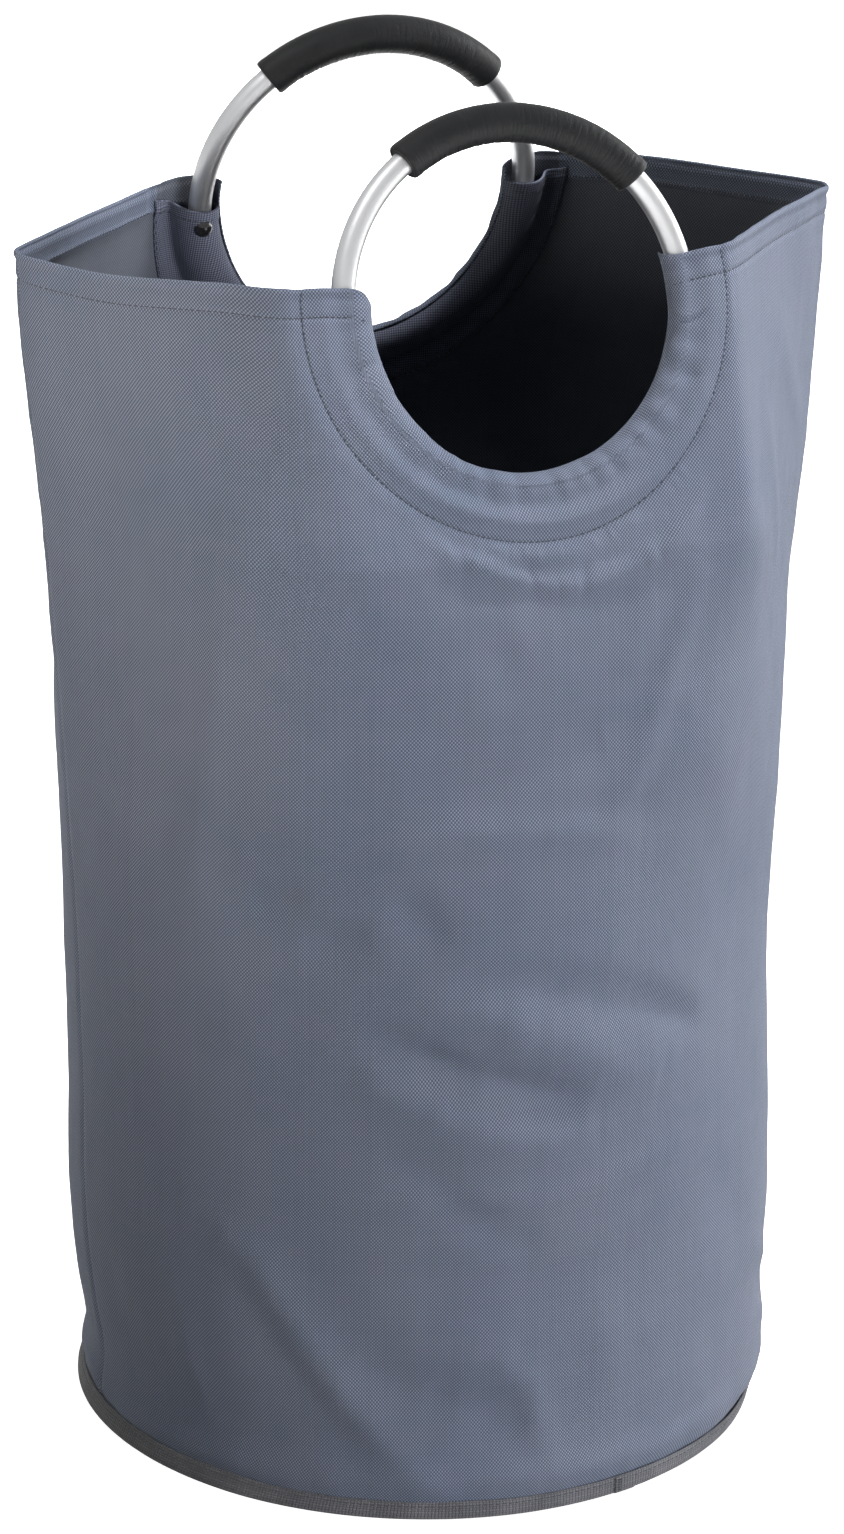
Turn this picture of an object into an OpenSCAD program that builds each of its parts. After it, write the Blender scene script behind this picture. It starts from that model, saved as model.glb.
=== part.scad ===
// Free-standing fabric laundry bag. A cloth tube on a round, stiffened base flattens
// towards a pointed mouth, and two ring handles sit in tunnels round half-round
// cut-outs in its rim. Millimetres. The origin is the middle of the base on the
// floor, +Z is up, and the front faces -Y.

/* [Bag] */
// Diameter of the bag cloth where it meets the base
base_d = 352; // [330:2:370]
// Height of the mouth rim above the floor
rim_h = 634; // [626:1:642]
// Width of the mouth between its two side corners
mouth_w = 438; // [420:2:456]
// Half width of the flat stretch of wall that carries a handle
flat_half = 120; // [117:1:124]
// Thickness of the coated bag cloth
cloth_t = 1.6; // [1.2:0.1:2]
// Depth of the turned hem along the rim
hem_h = 15; // [12:1:18]
// Height where the walls bend towards the leaning handles
bend_z = 505; // [495:1:506]

/* [Base] */
// Thickness of the binding tape and of the base cloth
tape_t = 1.2; // [1:0.1:1.4]
// Height of the binding tape round the foot
binding_h = 10; // [8:0.5:12]
// Thickness of the stiffening board
board_t = 2.5; // [2:0.5:4]

/* [Handles] */
// Diameter of a handle ring, to the middle of its tube
ring_d = 179; // [175:1:181]
// Outer diameter of the handle tube
tube_d = 12; // [11:0.5:12.5]
// Wall thickness of the handle tube
tube_wall = 1; // [0.8:0.1:1.5]
// Distance of a ring's lowest point from the middle of the bag
ring_low_y = 130; // [126:1:134]
// Height of a ring's lowest point above the floor
ring_low_z = 535; // [533:1:538]
// Lean of the front handle towards the middle, in degrees
front_lean = 19; // [15:1:22]
// Lean of the rear handle towards the middle, in degrees
rear_lean = 11; // [8:1:15]
// Outer diameter of the foam grips
grip_d = 20; // [18:1:22]
// Stretch of each ring that its foam grip covers, in degrees
grip_arc = 85; // [75:1:95]
// Turn of the front ring in its tunnel, in degrees
front_turn = -7; // [-10:1:10]
// Turn of the rear ring in its tunnel, in degrees
rear_turn = -2; // [-10:1:10]

/* [Tunnels] */
// Width of the tunnel, from the cut-out's edge to its stitch line
tunnel_w = 32; // [29:1:33]
// Thickness of the facing cloth
facing_t = 1.2; // [1:0.1:1.4]
// Stretch of each ring that its facing covers, in degrees
facing_arc = 177; // [170:1:178]
// Diameter of the rivet's dome head
rivet_head_d = 9; // [8:0.5:10]

/* [Hidden] */

$fn = 96;
gap = 0.4;                 // clearance between tube and cloth
seat = 0.2;                // clearance between sewn layers
base_r = base_d / 2;
corner_x = mouth_w / 2;
ring_r = ring_d / 2;
tube_r = tube_d / 2;
hole_r = ring_r - tube_r - gap - facing_t;
stitch_r = hole_r + tunnel_w;
wall_off = tube_r + gap + cloth_t;
flat_start_z = 300;        // the round wall starts to flatten here
lens_power = 1.3;          // fullness of the mouth between the flats and the corners
low_slope = -0.06;         // slope of the front and rear walls above the foot
bend_slope = -0.12;        // the same just below the bend
foot_z = binding_h;
hem_from = flat_half + 10; // the hem is doubled between here and the corners

// Rows of the wall below the bend, then equal steps up to the rim or the cut-out.
low_rows = [1.4, foot_z, foot_z + 4, 24, 45, 85, 150, 230, 310, 380, 440, 475, bend_z];
upper_rows = 6;
side_cols = 12;
hole_cols = 20;

function mix(a, b, t) = a + (b - a) * t;
function smooth(t) = let (k = max(0, min(1, t))) k * k * (3 - 2 * k);
function hermite(p0, p1, m0, m1, t) =
    (2 * pow(t, 3) - 3 * pow(t, 2) + 1) * p0 + (pow(t, 3) - 2 * pow(t, 2) + t) * m0
    + (3 * pow(t, 2) - 2 * pow(t, 3)) * p1 + (pow(t, 3) - pow(t, 2)) * m1;

function ring_z(lean) = ring_low_z + ring_r * cos(lean);
function ring_y(lean) = ring_low_y - ring_r * sin(lean);

// Half the width of the bag at a height. It swells just above the foot, runs nearly
// straight, and spreads to the mouth's corners.
function half_width(z) =
    let (t = max(0, (z - foot_z) / (rim_h - foot_z)))
    base_r + (corner_x - base_r) * mix(pow(t, 0.45), pow(t, 3.5), 0.55);

// Distance of a wall from the middle plane at its middle: above the bend it is
// parallel to the handle's ring, just outside its tube.
function flat_depth(z, lean) =
    ring_low_y + wall_off / cos(lean) - (z - ring_low_z) * tan(lean);
function wall_depth(z, lean) =
    let (span = bend_z - foot_z, t = max(0, (z - foot_z) / span))
    z >= bend_z ? flat_depth(z, lean)
    : hermite(base_r, flat_depth(bend_z, lean), low_slope * span, bend_slope * span, t);

// The two walls lean differently, so the side seams run midway between them.
function half_depth(z) = (wall_depth(z, front_lean) + wall_depth(z, rear_lean)) / 2;
function seam_y(z) = (wall_depth(z, rear_lean) - wall_depth(z, front_lean)) / 2;

// Depth of a level section at s = x / half width, as a share of its largest depth:
// an ellipse low down, and a flat with two full cheeks at the mouth.
function section(s, z) =
    let (flat_s = flat_half / half_width(z),
         cheek = max(0, (s - flat_s) / (1 - flat_s)))
    mix(sqrt(max(0, 1 - s * s)), 1 - pow(cheek, lens_power),
        smooth((z - flat_start_z) / (bend_z - 5 - flat_start_z)));

// A point of the front (side -1) or rear (side 1) wall, t inside its outer face.
// c is the column's place along the mouth: columns in the cut-out stay upright, and
// the others follow the corners.
function wall_point(c, z, side, t) =
    let (a = half_width(z),
         spread = max(0, (abs(c) - hole_r) / (corner_x - hole_r)),
         x = abs(c) - (corner_x - a) * spread,
         y = (half_depth(z) - t) * section(min(1, x / a), z) + seat / 2)
    [sign(c) * (x - 1.5 * t * spread), seam_y(z) + side * y, z];

// Columns from the left corner to the right one, as [place, height of the top].
side_angle = acos(hole_r / corner_x);
function side_col(k) = [corner_x * cos(side_angle * k / side_cols), rim_h];
function columns(lean) = concat(
    [for (k = [0:side_cols]) let (c = side_col(k)) [-c[0], c[1]]],
    [for (k = [1:hole_cols - 1]) let (f = 180 * k / hole_cols)
        [-hole_r * cos(f), ring_z(lean) - hole_r * sin(f) * cos(lean)]],
    [for (k = [side_cols:-1:0]) side_col(k)]);
function col_heights(top) = concat(low_rows,
    [for (k = [1:upper_rows]) mix(bend_z, top - hem_h, k / upper_rows)],
    [top - hem_h + 0.2, top]);

// A closed shell between an outer and an inner grid of points, [column][row].
module grid_shell(outer, inner) {
    n = len(outer);
    m = len(outer[0]);
    base = n * m;
    function at(i, j, side) = side * base + i * m + j;
    function quad(a, b, c, d) = [[a, b, c], [a, c, d]];
    faces = concat(
        [for (i = [0:n - 2], j = [0:m - 2])
            each quad(at(i, j, 0), at(i, j + 1, 0), at(i + 1, j + 1, 0), at(i + 1, j, 0))],
        [for (i = [0:n - 2], j = [0:m - 2])
            each quad(at(i, j, 1), at(i + 1, j, 1), at(i + 1, j + 1, 1), at(i, j + 1, 1))],
        [for (i = [0:n - 2])
            each quad(at(i, 0, 0), at(i + 1, 0, 0), at(i + 1, 0, 1), at(i, 0, 1))],
        [for (i = [0:n - 2])
            each quad(at(i, m - 1, 0), at(i, m - 1, 1), at(i + 1, m - 1, 1), at(i + 1, m - 1, 0))],
        [for (j = [0:m - 2])
            each quad(at(0, j, 0), at(0, j, 1), at(0, j + 1, 1), at(0, j + 1, 0))],
        [for (j = [0:m - 2])
            each quad(at(n - 1, j, 0), at(n - 1, j + 1, 0), at(n - 1, j + 1, 1), at(n - 1, j, 1))]);
    polyhedron([for (g = [outer, inner], col = g, p = col) p], faces);
}

// The front (side -1) or rear (side 1) half of the wall, with its cut-out and hem.
module panel(side, lean) {
    cols = side < 0 ? columns(lean) : [for (c = columns(lean)) [-c[0], c[1]]];
    hem_row = len(low_rows) + upper_rows;
    outer = [for (c = cols) [for (z = col_heights(c[1])) wall_point(c[0], z, side, 0)]];
    inner = [for (c = cols) let (zs = col_heights(c[1]))
        [for (r = [0:len(zs) - 1])
            let (layers = (r >= hem_row && abs(c[0]) > hem_from) ? 2 : 1)
            wall_point(c[0], zs[r], side, cloth_t * layers)]];
    grid_shell(outer, inner);
}

// Places a shape that is modelled about a ring's centre, with the ring in the XY
// plane, its top towards +Y and the inside of the bag towards +Z, on the -Y side.
module at_ring(lean) {
    translate([0, -ring_y(lean), ring_z(lean)])
        rotate([-lean, 0, 0])
            rotate([90, 0, 0])
                mirror([0, 0, 1])
                    children();
}

// Tube side of the facing's cross-section: up past the tube, over it, and down a
// slope to the stitch line. offset_t moves it away from the tube.
function facing_side(offset_t) =
    let (r = tube_r + gap + offset_t,
         floor_z = -(tube_r + gap) + seat,
         slope_a = 62,
         end_r = stitch_r - 6)
    concat([[ring_r - r, floor_z]],
           [for (a = [180:-(180 - slope_a) / 8:slope_a]) [ring_r + r * cos(a), r * sin(a)]],
           [[end_r, floor_z + offset_t], [stitch_r, floor_z + offset_t]]);

module facing(lean, rivet_at) {
    under = facing_side(0);
    over = facing_side(facing_t);
    at_ring(lean) difference() {
        rotate_extrude(angle = facing_arc, start = 270 - facing_arc / 2)
            polygon(concat(under, [for (i = [len(over) - 1:-1:0]) over[i]]));
        rivet_place(rivet_at) cylinder(d = rivet_shank_d + 0.4, h = 2 * tube_r);
    }
}

// A rivet stands on the ring a little below one end of the facing: the left end, seen
// from inside the bag.
rivet_shank_d = 3.2;
front_rivet_at = -7;
rear_rivet_at = 187;
module rivet_place(rivet_at) {
    rotate([0, 0, rivet_at]) translate([ring_r, 0, 0]) children();
}

module ring(lean, turn, rivet_at) {
    joint_gap = 0.6;
    at_ring(lean) difference() {
        rotate_extrude(angle = 360 - joint_gap, start = 90 + turn + joint_gap / 2)
            translate([ring_r, 0]) difference() {
                circle(r = tube_r);
                circle(r = tube_r - tube_wall);
            }
        rivet_place(rivet_at) cylinder(d = rivet_shank_d + 0.2, h = 2 * tube_r);
    }
}

module ring_plug(lean, turn) {
    plug_arc = 36;
    at_ring(lean) rotate_extrude(angle = plug_arc, start = 90 + turn - plug_arc / 2)
        translate([ring_r, 0]) circle(r = tube_r - tube_wall - 0.05);
}

module grip(lean, turn) {
    at_ring(lean) rotate_extrude(angle = grip_arc, start = 90 + turn - grip_arc / 2)
        translate([ring_r, 0]) difference() {
            circle(d = grip_d);
            circle(r = tube_r + 0.05);
        }
}

// Dome head on the facing, shank through the tube's inner wall, set tail in the tube.
module rivet(lean, rivet_at) {
    head_h = 2.4;
    seat_z = tube_r + gap + facing_t;
    dome_r = (pow(rivet_head_d / 2, 2) + head_h * head_h) / (2 * head_h);
    tail_z = tube_r - tube_wall - 0.1;
    tail_h = 1.6;
    at_ring(lean) {
        difference() {
            rivet_place(rivet_at) union() {
                translate([0, 0, seat_z]) intersection() {
                    translate([0, 0, head_h - dome_r]) sphere(r = dome_r);
                    translate([0, 0, -1.4]) cylinder(d = rivet_head_d, h = head_h + 2);
                }
                translate([0, 0, tail_z - tail_h / 2]) cylinder(d = rivet_shank_d, h = seat_z - tail_z + 1);
                translate([0, 0, tail_z - tail_h]) cylinder(d = rivet_shank_d + 1.4, h = tail_h);
            }
            rivet_saddle(seat_z, rivet_at);
        }
    }
}

// What the cloth and tube fill under the rivet's head, apart from the shank's hole.
module rivet_saddle(seat_z, rivet_at) {
    difference() {
        rotate_extrude(angle = 12, start = rivet_at - 6)
            translate([ring_r, 0]) difference() {
                circle(r = seat_z + 0.05);
                circle(r = tube_r - tube_wall - 0.05);
            }
        rivet_place(rivet_at) cylinder(d = rivet_shank_d, h = 2 * seat_z);
    }
}

// A folded strip that binds the two raw edges inside a side seam (side -1 is the left
// one): thin where it leaves the seam, and as thick as its folds at its free edge.
module seam_binding(side) {
    strip_w = 9;
    zs = [for (k = [0:18]) mix(foot_z + 5, rim_h - hem_h - 1, k / 18)];
    function strip_face(inset, half_t) = [for (y = [-half_t, half_t])
        [for (z = zs) [side * (half_width(z) - 1.5 * cloth_t - seat - inset),
                       seam_y(z) + side * y, z]]];
    grid_shell(strip_face(0, 0.2), strip_face(strip_w, 1.2));
}

module front_panel() color("slategray") panel(-1, front_lean);
module rear_panel() color("slategray") panel(1, rear_lean);
module left_seam_binding() color("dimgray") seam_binding(-1);
module right_seam_binding() color("dimgray") seam_binding(1);

// Round base cloth, its edge turned down between the wall and the binding's inner leaf.
base_edge_r = base_r - 1.5 * cloth_t - seat - 0.3;
module base_panel() color("dimgray") {
    top_z = binding_h + seat;
    rotate_extrude() polygon([
        [0, top_z - tape_t], [base_edge_r - tape_t, top_z - tape_t],
        [base_edge_r - tape_t, tape_t + seat], [base_edge_r, tape_t + seat],
        [base_edge_r, top_z], [0, top_z]]);
}

module base_board() color("gray") {
    translate([0, 0, binding_h + seat]) cylinder(r = base_edge_r - 2, h = board_t);
}

// Tape folded round the raw edges: the bag stands on its fold.
module base_binding() color("slategray") {
    outer_r = base_r + gap + tape_t;
    inner_r = base_edge_r - tape_t - seat - tape_t;
    rotate_extrude() polygon([
        [inner_r, 0.5], [inner_r + 0.5, 0], [outer_r - 0.5, 0], [outer_r, 0.5],
        [outer_r, binding_h - 0.2], [outer_r - tape_t, binding_h - 0.2],
        [outer_r - tape_t, tape_t], [inner_r + tape_t, tape_t],
        [inner_r + tape_t, binding_h - tape_t - 0.2], [inner_r, binding_h - tape_t - 0.2]]);
}

module front_facing() color("slategray") facing(front_lean, front_rivet_at);
module rear_facing() color("slategray") mirror([0, 1, 0]) facing(rear_lean, rear_rivet_at);
module front_ring() color("silver") ring(front_lean, front_turn, front_rivet_at);
module rear_ring() color("silver") mirror([0, 1, 0]) ring(rear_lean, rear_turn, rear_rivet_at);
module front_ring_plug() color("gray") ring_plug(front_lean, front_turn);
module rear_ring_plug() color("gray") mirror([0, 1, 0]) ring_plug(rear_lean, rear_turn);
module front_grip() color("black") grip(front_lean, front_turn);
module rear_grip() color("black") mirror([0, 1, 0]) grip(rear_lean, rear_turn);
module front_rivet() color("black") rivet(front_lean, front_rivet_at);
module rear_rivet() color("black") mirror([0, 1, 0]) rivet(rear_lean, rear_rivet_at);

front_panel();
rear_panel();
left_seam_binding();
right_seam_binding();
base_panel();
base_board();
base_binding();
front_facing();
rear_facing();
front_ring();
rear_ring();
front_ring_plug();
rear_ring_plug();
front_grip();
rear_grip();
front_rivet();
rear_rivet();
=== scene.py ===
import math

import bmesh
import bpy
import numpy as np
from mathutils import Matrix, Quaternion, Vector


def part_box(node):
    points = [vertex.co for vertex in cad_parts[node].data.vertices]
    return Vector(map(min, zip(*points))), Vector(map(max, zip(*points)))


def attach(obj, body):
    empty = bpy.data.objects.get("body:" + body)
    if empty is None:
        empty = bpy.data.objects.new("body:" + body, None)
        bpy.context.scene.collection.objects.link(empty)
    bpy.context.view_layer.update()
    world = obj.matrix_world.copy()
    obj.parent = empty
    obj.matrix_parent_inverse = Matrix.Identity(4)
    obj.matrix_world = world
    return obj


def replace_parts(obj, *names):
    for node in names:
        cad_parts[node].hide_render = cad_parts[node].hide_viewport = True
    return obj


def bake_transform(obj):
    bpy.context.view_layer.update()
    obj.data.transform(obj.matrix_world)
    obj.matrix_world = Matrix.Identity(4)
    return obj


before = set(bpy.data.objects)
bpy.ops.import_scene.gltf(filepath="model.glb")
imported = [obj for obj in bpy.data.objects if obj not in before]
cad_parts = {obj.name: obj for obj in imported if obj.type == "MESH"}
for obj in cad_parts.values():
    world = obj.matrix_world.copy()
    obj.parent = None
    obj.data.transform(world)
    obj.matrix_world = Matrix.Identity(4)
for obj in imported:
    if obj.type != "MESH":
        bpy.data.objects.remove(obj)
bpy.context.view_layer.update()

MM = 0.001
SCENE = bpy.context.scene


def aim(obj, azimuth, elevation, distance, target, roll=0.0):
    """Puts a camera or lamp at a distance from its target, looking at it."""
    az, el = math.radians(azimuth), math.radians(elevation)
    back = Vector((math.sin(az) * math.cos(el), -math.cos(az) * math.cos(el), math.sin(el)))
    obj.location = Vector(target) + back * distance
    obj.rotation_mode = "QUATERNION"
    turn = Quaternion((0, 0, 1), math.radians(roll))
    obj.rotation_quaternion = (-back).to_track_quat("-Z", "Y") @ turn
    SCENE.collection.objects.link(obj)
    return obj


# ---------------------------------------------------------------- camera
def make_camera():
    data = bpy.data.cameras.new("camera")
    data.lens, data.sensor_width = 138.6, 36
    data.shift_x, data.shift_y = -0.0028, -0.0066
    data.clip_start, data.clip_end = 0.05, 60
    SCENE.camera = aim(bpy.data.objects.new("camera", data), -21.61, 19.88, 3.0654,
                       (0, 0, 0.350), roll=1.68)


make_camera()

# ---------------------------------------------------------------- sizes, in mm
BASE_R, FOOT_Z, RIM_H, CORNER_X = 176.0, 10.0, 634.0, 219.0
FLAT_START_Z, BEND_Z = 300.0, 505.0
RING_LOW_Y, RING_LOW_Z, RING_R = 130.0, 535.0, 89.5
WALL_OFF, LOW_SLOPE, BEND_SLOPE = 8.0, -0.06, -0.12
LEANS = {"front": 19.0, "rear": 11.0}
STITCH_R, COLLAR_R = 114.3, 124.0
CLOTH_T, HEM_T, HEM_H = 0.9, 2.1, 13.8
FACE_OFF = 8.5                       # the cloth's face lies this far outside the ring's plane
CHANNEL_Z = 470.0                    # the tunnel's relief is above this height
LEVEL_STEP = 2.0
LEVELS = np.arange(0.0, 662.0, LEVEL_STEP)
SHARES = np.linspace(0, 1, 401)


# ---------------------------------------------------------------- small maths
def smooth(t):
    k = np.clip(t, 0, 1)
    return k * k * (3 - 2 * k)


def mix(a, b, t):
    return a + (b - a) * t


def bump(x, centre, width):
    return np.exp(-(((x - centre) / width) ** 2))


def stack(*parts):
    """Points from their coordinates; a single number is the same for all of them."""
    return np.stack(np.broadcast_arrays(*parts), axis=-1)


def around(r, angle, z):
    return stack(r * np.cos(angle), r * np.sin(angle), z)


def unit(v):
    return v / np.maximum(np.linalg.norm(v, axis=-1, keepdims=True), 1e-12)


def running_length(points):
    return np.concatenate([[0], np.cumsum(np.linalg.norm(np.diff(points, axis=0), axis=1))])


def hermite(p0, p1, m0, m1, t):
    return ((2 * t**3 - 3 * t**2 + 1) * p0 + (t**3 - 2 * t**2 + t) * m0
            + (3 * t**2 - 2 * t**3) * p1 + (t**3 - t**2) * m1)


def curve_through(x, knots):
    """A smooth curve through a few (x, y) knots, level beyond the ends."""
    kx, ky = np.array(knots, float).T
    m = np.gradient(ky, kx)
    x = np.clip(x, kx[0], kx[-1])
    i = np.clip(np.searchsorted(kx, x) - 1, 0, len(kx) - 2)
    h = kx[i + 1] - kx[i]
    return hermite(ky[i], ky[i + 1], h * m[i], h * m[i + 1], (x - kx[i]) / h)


def noise2(u, v, cell_u, cell_v, seed):
    """Smooth noise between -1 and 1, with its own seeded lattice."""
    n = 97
    lattice = np.random.default_rng(seed).uniform(-1, 1, (n, n))
    a, b = u / cell_u + 31.7, v / cell_v + 17.3
    i, j = np.floor(a).astype(int), np.floor(b).astype(int)
    s, t = smooth(a - i), smooth(b - j)
    g = lambda p, q: lattice[p % n, q % n]
    return mix(mix(g(i, j), g(i + 1, j), s), mix(g(i, j + 1), g(i + 1, j + 1), s), t)


def noise1(x, cell, seed):
    return noise2(x, 0 * x, cell, 1, seed)


# ---------------------------------------------------------------- the wall's plain shape
def half_width(z):
    t = np.maximum(0, (z - FOOT_Z) / (RIM_H - FOOT_Z))
    return BASE_R + (CORNER_X - BASE_R) * mix(t**0.45, t**3.5, 0.55)


def wall_depth(z, lean):
    lean = math.radians(lean)
    flat = lambda h: RING_LOW_Y + WALL_OFF / math.cos(lean) - (h - RING_LOW_Z) * math.tan(lean)
    span = BEND_Z - FOOT_Z
    t = np.clip((z - FOOT_Z) / span, 0, 1)
    low = hermite(BASE_R, flat(BEND_Z), LOW_SLOPE * span, BEND_SLOPE * span, t)
    return np.where(z >= BEND_Z, flat(z), low)


def half_depth(z):
    return (wall_depth(z, LEANS["front"]) + wall_depth(z, LEANS["rear"])) / 2


def seam_y(z):
    return (wall_depth(z, LEANS["rear"]) - wall_depth(z, LEANS["front"])) / 2


def section(s, z, flat_half, power):
    """Depth of a level section at a share s of its width, as a share of its full depth:
    half an ellipse at the foot, a flat with two cheeks at the mouth."""
    flat_s = flat_half / half_width(z)
    cheek = np.maximum(0, (s - flat_s) / (1 - flat_s))
    lens = smooth((z - FLAT_START_Z) / (BEND_Z - 5 - FLAT_START_Z))
    return mix(np.sqrt(np.maximum(0, 1 - s * s)), 1 - cheek**power, lens)


class Quarter:
    """A quarter of the wall's level sections, measured along the cloth: how long it is
    at each height, and where the point at a share of that length lies. Real cloth
    rounds the bend between the flat and the cheek, and its two sides differ a little."""

    def __init__(self, flat_half, power, rounding, low_rounding, nose):
        z = LEVELS[:, None]
        s = np.sin(np.linspace(0, math.pi / 2, 1201))[None, :]
        x, y = s * half_width(z), half_depth(z) * section(s, z, flat_half, power)
        rows = []
        for level, a, b in zip(LEVELS, x, y):
            a, b, total = self.even(a, b)
            lens = float(smooth((level - FLAT_START_Z) / 180))
            spread = mix(rounding, low_rounding, float(smooth((530 - level) / 90)))
            spread *= lens / (total / (len(a) - 1))
            if spread > 0.5:
                a, b = self.soften(a, -1, a[-1], spread), self.soften(b, 1, b[-1], spread)
            off = total * (1 - SHARES)
            swell = nose * lens * np.sqrt(1 - (1 - np.minimum(1, off / (1.6 * nose))) ** 2)
            rows.append(self.even(a, b + swell * np.exp(-((off / 60) ** 2))))
        self.x, self.y, self.length = (np.array(q) for q in zip(*rows))

    @staticmethod
    def even(a, b):
        along = running_length(stack(a, b))
        at = SHARES * along[-1]
        return np.interp(at, along, a), np.interp(at, along, b), along[-1]

    @staticmethod
    def soften(values, parity, end, spread):
        """Gaussian smoothing that keeps the middle's symmetry and the end in place."""
        n = int(3 * spread) + 1
        head = parity * values[1:n + 1][::-1]
        tail = 2 * end - values[-n - 1:-1][::-1]
        k = np.exp(-0.5 * (np.arange(-n, n + 1) / spread) ** 2)
        return np.convolve(np.concatenate([head, values, tail]), k / k.sum(), "valid")

    def half(self, z):
        return np.interp(z, LEVELS, self.length)

    def at(self, table, share, z):
        a = np.clip(share, 0, 1) * (len(SHARES) - 1)
        b = np.clip(z / LEVEL_STEP, 0, len(LEVELS) - 1.001)
        i, j = np.minimum(a.astype(int), len(SHARES) - 2), b.astype(int)
        rows = [mix(table[k, i], table[k, i + 1], a - i) for k in (j, j + 1)]
        return mix(*rows, b - j)


# Width of the flat, fullness of the cheek, rounding of the bend high up and low down, and
# thickness of the corner, for the left (-1) and right (1) of each wall.
QUARTERS = {
    ("front", -1): Quarter(112, 1.35, 24, 36, 6.5), ("front", 1): Quarter(112, 1.08, 5, 34, 3.5),
    ("rear", -1): Quarter(107, 1.2, 5, 24, 4.0), ("rear", 1): Quarter(118, 1.3, 11, 28, 3.5)}
# Radius round the ring within which the cloth lies flat along the handle, and the width over
# which it lets go, left and right.
FLAT_ROUND = {"front": ((113, 34), (108, 8)), "rear": ((103, 12), (103, 12))}
# How far the cloth stands out sideways from its plain shape, by height, at each seam.
SWAY = {
    -1: [(0, -1), (8, 2), (20, 6), (42, 7), (66, 4.4), (113, 0.8), (190, 1), (280, -0.6),
        (370, -3.6), (455, -6), (540, -6.7), (590, -5.5), (634, -1)],
    1: [(0, 5), (26, 9.6), (45, 9.2), (65, 7.3), (106, 7.3), (135, 4.4), (170, 1.9), (208, -1.2),
        (255, -5.2), (298, -6), (342, -5), (387, -2.6), (431, 0), (475, 1.2), (560, 2), (634, 0)]}
# Heights of the rim, by x. The mouth stands a little higher on the right.
RIM = {
    "front": [(-219, 632), (-190, 630.5), (-155, 634), (-125, 636.5), (-93, 635.6), (-86, 634.8),
        (-82, 633.4), (-79, 631.2), (-76.5, 628), (-74, 624), (76, 638), (93, 641), (110, 643),
        (135, 643.5), (165, 643), (195, 641), (219, 637.5)],
    "rear": [(-219, 632), (-183, 632), (-149, 632), (-123, 633), (-104, 635), (-90, 637),
        (-76, 634.5), (76, 630.5), (86, 634.5), (98, 636.5), (128, 636), (155, 637), (190, 637),
        (219, 637.5)]}
# Radius of the tunnel's stitch line, by angle round the ring (0 right, -90 bottom).
STITCH = {
    "front": [(-195, 114), (-120, 114.5), (-95, 116), (-78, 116), (-60, 114), (-45, 112),
        (-25, 110), (20, 110)],
    "rear": [(-195, 111), (-150, 112), (-100, 114.5), (-60, 114), (-20, 112), (20, 112)]}
# Radius of the ridge inside the tunnel, by angle.
RIDGE = {
    "front": [(-195, 97), (-150, 98), (-120, 99.3), (-87, 101), (-50, 101.3), (-31, 98.7),
        (-18, 96), (20, 95)],
    "rear": [(-195, 95), (-160, 96), (-130, 99), (-90, 100.5), (-55, 99), (-20, 96.5), (20, 95.5)]}
# Radius of the cut-out's rolled edge, by angle.
EDGE = {
    "front": [(-195, 75), (-180, 75), (-160, 76), (-140, 78), (-120, 80.6), (-95, 81.4),
        (-45, 81.2), (-10, 81), (20, 81)],
    "rear": [(-195, 80), (-178, 78.5), (-158, 77), (-140, 77.5), (-110, 80.5), (-80, 80.5),
        (-50, 78.5), (-25, 77.5), (0, 77.5), (20, 79)]}
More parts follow.
